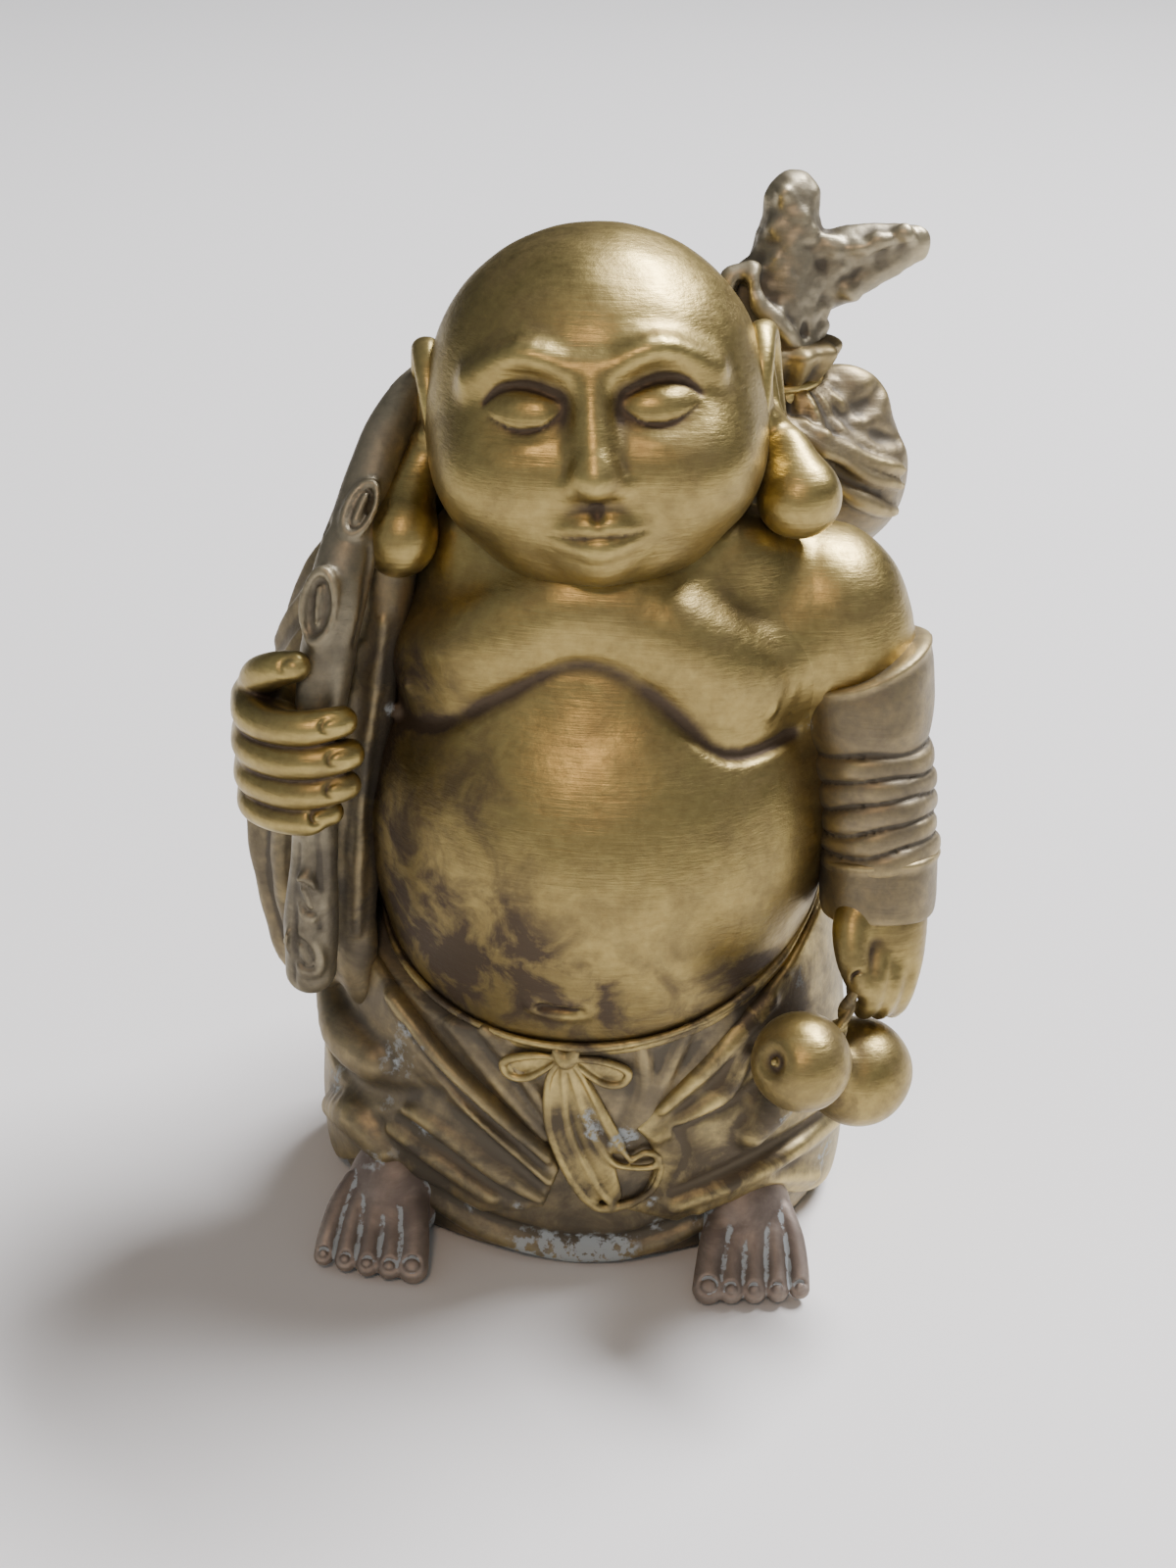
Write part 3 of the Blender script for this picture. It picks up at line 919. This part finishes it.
def bow():
    clay = Clay(at(-14, -38, 31), at(13, -28, 47), 0.25)
    knot = laid(skirt_table, (-2.6, 42.6, 0.8), (-1.2, 41, 1.5), (0.2, 42.8, 0.8), out=0.8)
    clay.add(limb(knot))
    # Each loop is an edged ribbon: a thin leaf with a raised cord round it
    for side in (-1, 1):
        ring = laid(skirt_table, (-1.2 + side * 1.2, 41.4, 0.5), (-1.2 + side * 5, 41.3, 0.6),
            (-1.2 + side * 9.2, 39.4, 0.7),
            (-1.2 + side * 8.6, 37, 0.7), (-1.2 + side * 5.6, 37, 0.6),
            (-1.2 + side * 1.4, 40.4, 0.5), out=0.9)
        clay.add(limb(ring), 0.4)
        leaf = laid(skirt_table, (-1.2 + side * 2, 41, 0.8), (-1.2 + side * 5, 39.6, 1.6),
            (-1.2 + side * 7.8, 38.4, 1.5), out=0.2)
        clay.add(limb(leaf, 5, (0, 1, 0), 0.4), 0.4)
    return {"bow": clay}


def sash_tails():
    clay = Clay(at(-9, -38, 8), at(17, -28, 43), 0.3)
    # Flat tails that fan from the knot, each with a raised edge on both sides
    body = (((-1.6, 40, 1), (-2, 31, 2), (0.2, 22, 2.2), (3.6, 15.6, 1.8)),
        ((-0.4, 40, 1), (1.6, 31, 2), (4.6, 22, 2), (6.6, 15.6, 1.6)),
        ((0.6, 39.6, 0.8), (4, 31, 1.6), (7, 25, 1.5)))
    for rows in body:
        clay.add(limb(laid(skirt_table, *rows, out=0.6), 5, (0, 1, 0), 0.45), 0.4)
    edges = (((-2, 41, 0.5), (-3.7, 37, 0.55), (-3.4, 28, 0.6), (0.2, 18.6, 0.65), (3.4, 14, 0.7),
         (6, 13, 0.7), (9.2, 14, 0.6)),
        ((-1.4, 40.6, 0.4), (-1.4, 36, 0.45), (0, 27, 0.5), (4.4, 17, 0.5), (6.6, 14, 0.5)),
        ((-0.8, 40.4, 0.4), (0.4, 36, 0.45), (2.8, 28.6, 0.5), (6.2, 22.6, 0.55), (9.4, 21.2, 0.55),
         (12.6, 21.2, 0.6),
         (13.3, 23, 0.6), (11.4, 24, 0.55), (9.6, 23, 0.5)),
        ((0.2, 40.4, 0.4), (2.2, 36.6, 0.45), (5.4, 29, 0.5), (7.6, 25, 0.5), (9.2, 22.6, 0.5)),
        ((13.2, 23, 0.5), (13.8, 20.6, 0.6), (12.6, 16.4, 0.6), (9.4, 13.8, 0.6)))
    for rows in edges:
        clay.add(limb(laid(skirt_table, *rows, out=1.2)), 0.5)
    return {"sash_tails": clay}


def foot(x, side):
    clay = Clay(at(x - 13, -43, 0), at(x + 13, -14, 20), 0.3)
    clay.add(egg(at(x * 0.93, -22, 6), (7.8, 8.6, 9.6)))
    clay.add(limb(route((x * 0.95, -23.4, 5.6, 6.4), (x * 0.99, -29, 3.4, 5))), 3)
    # Toes from the big one on the inner side, each with two joints, a round tip and a nail
    for k in range(5):
        across = -side * (6.7 - 3.5 * k)
        thick = (2.5, 1.95, 1.85, 1.75, 1.65)[k]
        tip = -37.6 + (0.3, 0, 0.3, 0.9, 1.8)[k]
        bones = route((x + across * 0.62, -25, 9.4, thick * 0.9), (x + across * 0.86, -29.4, 7.2, thick),
            (x + across, -33.6, 4.6, thick * 0.94), (x + across * 1.03, tip, 2.4, thick))
        clay.add(limb(bones), 0.7 if k else 0.9)
        nail = at(x + across * 1.03, tip - thick * 0.5, 2.4) + [0, 0, thick * 0.62]
        clay.cut(loop(nail, (thick * 0.62, 0, 0), (0, thick * 0.42, thick * 0.34), 0.3), 0.25)
    clay.trim(at(0, 0, 0.02), (0, 0, -1), 0.2)
    return clay


def feet():
    return {"foot_right": foot(-31, -1), "foot_left": foot(29.5, 1)}


clays = {}
for make in (torso_and_arm, head, ears, hand_right, staff, staff_fork, sack, sack_neck, sack_tie, robe_back,
        sleeve_right, sleeve_left, cuff_left, hand_left, gourd, gourd_cord, skirt, base_plate,
        robe_panels,
        waist_cord, bow, sash_tails, feet):
    clays.update(make())

# ---- Crowding: how shut in each place is, which is where the patina stays ----

CROWD_CELL = 1.2
CROWD_REACH = 3         # cells each way
CROWD_LOW, CROWD_HIGH = (-59, -49, -5), (54.4, 51.2, 168.4)

crowd = Clay(CROWD_LOW, CROWD_HIGH, CROWD_CELL)
for clay in clays.values():
    corners = np.array([[clay.axes[0][i], clay.axes[1][j], clay.axes[2][k]]
        for i in (0, -1) for j in (0, -1) for k in (0, -1)]) @ clay.turn.T + clay.place
    cut = tuple(slice(*np.searchsorted(crowd.axes[k], [corners[:, k].min(), corners[:, k].max()]))
        for k in range(3))
    spots = np.stack(np.meshgrid(*(crowd.axes[k][cut[k]] for k in range(3)), indexing="ij"), -1)
    away = clay.sample(spots.reshape(-1, 3)).reshape(spots.shape[:3])
    crowd.field[cut] = np.minimum(crowd.field[cut], away)
filled = np.clip(0.5 - crowd.field / CROWD_CELL, 0, 1)
filled[:, :, crowd.axes[2] < 0] = 1.0       # the table counts as filled
crowd.field = softened(filled.astype(np.float32), CROWD_REACH)


# ---- Materials ----

def linear(code):
    """An sRGB hex colour as the linear colour that shaders work in."""
    values = [int(code[k:k + 2], 16) / 255 for k in (1, 3, 5)]
    return [v / 12.92 if v <= 0.04045 else ((v + 0.055) / 1.055) ** 2.4 for v in values] + [1.0]


def put(tree, kind, settings=None, links=None):
    """Adds one node, with its settings and with the sockets that feed it."""
    made = tree.nodes.new(kind)
    for name, value in (settings or {}).items():
        if isinstance(name, str) and hasattr(made, name):
            setattr(made, name, value)
        else:
            made.inputs[name].default_value = value
    for name, source in (links or {}).items():
        tree.links.new(source, made.inputs[name])
    return made


# How many blotches of tarnish, 8 mm across, and how many 1.5 mm spots in them, go to a metre
BLOTCHES, SPOTS = 125.0, 650.0
# A polishing cloth's scratches, 0.15 mm apart and drawn out along the way it was rubbed
SCRATCH_TURN, SCRATCH_SCALE = (0.5, 0.9, 0.3), (70.0, 600.0, 1800.0)
SCRATCH_DEPTH = 0.15 * MM
DEPOSIT = "#A3ABAD"


def brass(name, bright, dull, brown, wear, age, dust, rough, scratch):
    """Cast brass that hands have rubbed: gold on what stands out, brown where cloths can't reach.

    wear is how much of the bright metal shows, age how far the brown has spread over open
    places, dust how much pale verdigris and polish sits in the corners.
    """
    material = bpy.data.materials.new(name)
    material.use_nodes = True
    tree = material.node_tree
    tree.nodes.clear()
    place = put(tree, "ShaderNodeTexCoord").outputs["Object"]
    part = {key: put(tree, "ShaderNodeAttribute", {"attribute_name": key}).outputs["Fac"]
        for key in ("ridge", "swell", "crowding", "stain", "chalk")}
    drawn = put(tree, "ShaderNodeMapping", {"Rotation": SCRATCH_TURN, "Scale": SCRATCH_SCALE},
        {"Vector": place}).outputs["Vector"]
    for key, where, scale, detail, falloff, twist in (("cloud", place, BLOTCHES, 6.0, 0.62, 0.5),
            ("speck", place, SPOTS, 4.0, 0.6, 0.0),
            ("hair", drawn, 1.0, 3.0, 0.7, 0.0)):
        part[key] = put(tree, "ShaderNodeTexNoise",
            {"Scale": scale, "Detail": detail, "Roughness": falloff, "Distortion": twist},
            {"Vector": where}).outputs["Fac"]

    # Each row is a reading: what it is taken from, where it starts and ends, and what it comes to there
    for key, source, start, end, least, most in (
            ("shut", "crowding", 0.60, 0.96, 0, 1), ("furrow", "ridge", -0.02, -0.30, 0, 1),
            ("dip", "swell", -0.05, -0.7, 0, 0.5), ("ragged", "cloud", 0.42, 0.58, 0.5, 1.25),
            ("edge", "ridge", 0.10, 0.32, 0, 1), ("crown", "swell", 0.45, 1.4, 0, 1),
            ("tone", "speck", 0.30, 0.66, 0, 0.4), ("broken", "speck", 0.42, 0.62, 0.25, 1.5)):
        part[key] = put(tree, "ShaderNodeMapRange",
            {"From Min": start, "From Max": end, "To Min": least, "To Max": most},
            {"Value": part[source]}).outputs["Result"]

    # Each row is a sum: low is where the metal stays brown, shine where it is rubbed, flaky the pale deposit
    for key, operation, *terms in (
            ("both", "MAXIMUM", "shut", "furrow"), ("corners", "ADD", "both", "dip"),
            ("low", "MULTIPLY_ADD", "stain", "ragged", "corners"),
            ("mottled", "MULTIPLY_ADD", "cloud", 1.3, "low"),
            ("rub", "MAXIMUM", "edge", "crown"), ("worn", "MULTIPLY", "rub", wear),
            ("shine", "ADD", "tone", "worn"),
            ("corner", "MULTIPLY", "both", dust), ("laid_on", "ADD", "corner", "chalk"),
            ("flaky", "MULTIPLY", "laid_on", "broken"),
            ("grain", "MULTIPLY_ADD", "hair", scratch, "speck")):
        numbers = {k: term for k, term in enumerate(terms) if not isinstance(term, str)}
        links = {k: part[term] for k, term in enumerate(terms) if isinstance(term, str)}
        part[key] = put(tree, "ShaderNodeMath",
            {"operation": operation, "use_clamp": key == "shine", **numbers},
            links).outputs[0]
    patina = put(tree, "ShaderNodeMapRange", {"From Min": 0.85 - age, "From Max": 1.75 - age},
        {"Value": part["mottled"]}).outputs["Result"]
    powder = put(tree, "ShaderNodeMapRange", {"From Min": 0.35, "From Max": 1.0, "To Max": 0.85},
        {"Value": part["flaky"]}).outputs["Result"]

    clean = put(tree, "ShaderNodeMix", {"data_type": "RGBA", 6: linear(dull), 7: linear(bright)},
        {0: part["shine"]}).outputs[2]
    aged = put(tree, "ShaderNodeMix", {"data_type": "RGBA", 7: linear(brown)},
        {0: patina, 6: clean}).outputs[2]
    dusted = put(tree, "ShaderNodeMix", {"data_type": "RGBA", 7: linear(DEPOSIT)},
        {0: powder, 6: aged}).outputs[2]

    # The patina and the deposit are duller than the metal
    metal = put(tree, "ShaderNodeMapRange", {"To Min": 1.0, "To Max": 0.75},
        {"Value": patina}).outputs["Result"]
    metal_left = put(tree, "ShaderNodeMath", {"operation": "SUBTRACT", "use_clamp": True},
        {0: metal, 1: powder}).outputs[0]
    gloss = put(tree, "ShaderNodeMapRange", {"To Min": rough, "To Max": rough + 0.16},
        {"Value": patina}).outputs["Result"]
    uneven = put(tree, "ShaderNodeMath", {"operation": "MULTIPLY_ADD", 1: 0.16},
        {0: part["hair"], 2: gloss}).outputs[0]
    chalky = put(tree, "ShaderNodeMath", {"operation": "MULTIPLY_ADD", 1: 0.4, "use_clamp": True},
        {0: powder, 2: uneven}).outputs[0]
    bump = put(tree, "ShaderNodeBump", {"Strength": 0.4, "Distance": SCRATCH_DEPTH},
        {"Height": part["grain"]})
    shader = put(tree, "ShaderNodeBsdfPrincipled", {},
        {"Base Color": dusted, "Metallic": metal_left, "Roughness": chalky,
         "Normal": bump.outputs["Normal"]})
    put(tree, "ShaderNodeOutputMaterial", {}, {"Surface": shader.outputs["BSDF"]})
    return material


FINISH = {
    # Bright and smooth from hands, with olive shade between the rubs
    "polished_brass": brass("rubbed_cast_brass", "#BDAA6C", "#978453", "#544738", 0.8, 0.25, 0.0, 0.30,
                            1.2),
    # Never polished, so brown overall, and gold only on the folds
    "tarnished_brass": brass("tarnished_cast_brass", "#BBA878", "#8B7E66", "#5F584B", 1.0, 0.48, 0.25,
                             0.36, 0.8),
    # Chased with a graver, which leaves brown in the furrows
    "staff_brass": brass("carved_cast_brass", "#B5A98A", "#8E8672", "#5B554A", 0.8, 0.42, 0.15, 0.37, 0.8),
    # Nearly bare metal on thin cords, and duller on the flats between them
    "worn_edge_brass": brass("worn_edge_brass", "#D6C07F", "#8C7F5E", "#5A5040", 1.0, 0.42, 0.1, 0.32, 0.8),
    # Cast with the rest and seldom rubbed: red-brown and dull, with pale deposit between the toes
    "dark_patina_brass": brass("dark_patina_brass", "#B8AA9B", "#9A8D82", "#7C7067", 0.6, 0.5, 6.0, 0.46,
                               0.6)}
slot_of = {row["node"]: row["material_slot"] for row in frame["record"]["subparts"]}


# ---- Casting: each block of clay becomes the piece that stands for its CAD node ----

HAND_SIZE, HAND_AMOUNT = 9.0, 0.06      # the unevenness that the wax worker's hand leaves, mm
FINE, BROAD = 0.7, 2.2                  # how far round a point its ridge and its swell are taken, mm
NEAR = 8                                # distances past this tell nothing of the surface, mm


def cast(node, clay):
    band = 3 * clay.grain
    grid = openvdb.FloatGrid(band)
    grid.copyFromArray(np.clip(clay.field, -band, band))
    points, quads = grid.convertToQuads(isovalue=0.0)
    points = points.astype(float) * clay.grain + clay.low
    points = points @ clay.turn.T + clay.place
    quads = quads[:, ::-1].astype(np.int32)
    mesh = bpy.data.meshes.new(node + "_casting")
    mesh.vertices.add(len(points))
    mesh.vertices.foreach_set("co", (points * MM).astype(np.float32).ravel())
    mesh.loops.add(quads.size)
    mesh.loops.foreach_set("vertex_index", quads.ravel())
    mesh.polygons.add(len(quads))
    mesh.polygons.foreach_set("loop_start", np.arange(0, quads.size, 4, dtype=np.int32))
    mesh.polygons.foreach_set("use_smooth", np.ones(len(quads), bool))
    mesh.update(calc_edges=True)
    mesh.validate()
    normals = np.zeros(len(points) * 3, np.float32)
    mesh.vertices.foreach_get("normal", normals)
    normals = normals.reshape(-1, 3)
    outward = clay.sample(points + normals * clay.grain) > clay.sample(points - normals * clay.grain)
    if outward.mean() < 0.5:
        mesh.flip_normals()
        normals = -normals
    points = points + normals * waver(points, HAND_SIZE, HAND_AMOUNT, SEED)[:, None]
    mesh.vertices.foreach_set("co", (points * MM).astype(np.float32).ravel())
    fine = max(1, round(FINE / clay.grain))
    broad = max(2, round(BROAD / clay.grain))
    near = np.clip(clay.field, -NEAR, NEAR)
    values = {
        "ridge": clay.sample(points, softened(near, fine)) - clay.sample(points),
        "swell": clay.sample(points, softened(near, broad)) - clay.sample(points),
        "crowding": crowd.sample(points + normals * CROWD_CELL),
        "stain": patches(points, STAINS),
        "chalk": patches(points, CHALK),
    }
    for name, value in values.items():
        mesh.attributes.new(name, "FLOAT", "POINT").data.foreach_set("value", value.astype(np.float32))
    piece = bpy.data.objects.new(node + "_casting", mesh)
    bpy.context.scene.collection.objects.link(piece)
    mesh.materials.append(FINISH[slot_of[node]])
    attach(piece, "root")
    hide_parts(node)


for node, clay in clays.items():
    cast(node, clay)

# ---- Floor, light and camera ----

TABLE_HALF, TABLE_GAP = 3.0, 0.1 * MM
corners = [(x * TABLE_HALF, y * TABLE_HALF, 0) for x, y in ((-1, -1), (1, -1), (1, 1), (-1, 1))]
floor_mesh = bpy.data.meshes.new("table_top")
floor_mesh.from_pydata(corners, [], [(0, 1, 2, 3)])
floor = bpy.data.objects.new("table_top", floor_mesh)
bpy.context.scene.collection.objects.link(floor)
floor.location.z = -TABLE_GAP
paint = bpy.data.materials.new("matt_white_table")
paint.use_nodes = True
tree = paint.node_tree
tree.nodes.clear()
coat = put(tree, "ShaderNodeBsdfPrincipled", {"Base Color": linear("#D9D7D3"), "Roughness": 0.6})
put(tree, "ShaderNodeOutputMaterial", {}, {"Surface": coat.outputs["BSDF"]})
floor_mesh.materials.append(paint)

world = bpy.data.worlds.new("room")
world.use_nodes = True
bpy.context.scene.world = world
tree = world.node_tree
tree.nodes.clear()
look = put(tree, "ShaderNodeTexCoord").outputs["Generated"]
# The room is bright in front of the figure, to the left, and dim behind it
BRIGHT_WAY = (-0.3, -0.8, 0.3)
towards = put(tree, "ShaderNodeVectorMath", {"operation": "DOT_PRODUCT", 1: BRIGHT_WAY},
    {0: look}).outputs["Value"]
ramp = put(tree, "ShaderNodeMapRange", {"From Min": -0.3, "From Max": 0.8, "To Min": 0.10, "To Max": 0.60},
    {"Value": towards}).outputs["Result"]
sky = put(tree, "ShaderNodeBackground", {"Color": linear("#D6DCE4")}, {"Strength": ramp})
put(tree, "ShaderNodeOutputWorld", {}, {"Surface": sky.outputs["Background"]})


def lamp(name, place, aim, size, power, colour):
    data = bpy.data.lights.new(name, "AREA")
    data.shape = "RECTANGLE"
    data.size, data.size_y = size
    data.energy = power
    data.color = linear(colour)[:3]
    light = bpy.data.objects.new(name, data)
    light.location = place
    light.rotation_euler = (Vector(aim) - Vector(place)).to_track_quat("-Z", "Y").to_euler()
    bpy.context.scene.collection.objects.link(light)


BELLY = (0, 0, 0.08)
lamp("window", (0.72, 0.60, 1.62), BELLY, (0.95, 0.42), 94.0, "#F8F8FF")
lamp("ceiling_lamp", (-0.07, -0.72, 0.80), BELLY, (0.16, 0.16), 2.2, "#FFD9B8")

# The camera looks down at the belly from in front, leaning a little, as a phone is held
CAMERA_AIM = Vector((-1.0, 0.0, 71.0)) * MM
CAMERA_FAR = 358 * MM
CAMERA_AZIMUTH, CAMERA_PITCH, CAMERA_ROLL = (math.radians(v) for v in (3, 28, 2))
camera_data = bpy.data.cameras.new("camera")
camera = bpy.data.objects.new("camera", camera_data)
back = Vector((math.sin(CAMERA_AZIMUTH) * math.cos(CAMERA_PITCH),
    -math.cos(CAMERA_AZIMUTH) * math.cos(CAMERA_PITCH), math.sin(CAMERA_PITCH)))
camera.location = CAMERA_AIM + back * CAMERA_FAR
camera.rotation_euler = (-back).to_track_quat("-Z", "Y").to_euler()
camera.rotation_euler.rotate_axis("Z", CAMERA_ROLL)
camera_data.sensor_fit = "VERTICAL"
camera_data.sensor_height, camera_data.lens = 36.0, 52.0       # mm
camera_data.clip_start = 0.01
bpy.context.scene.collection.objects.link(camera)
bpy.context.scene.camera = camera
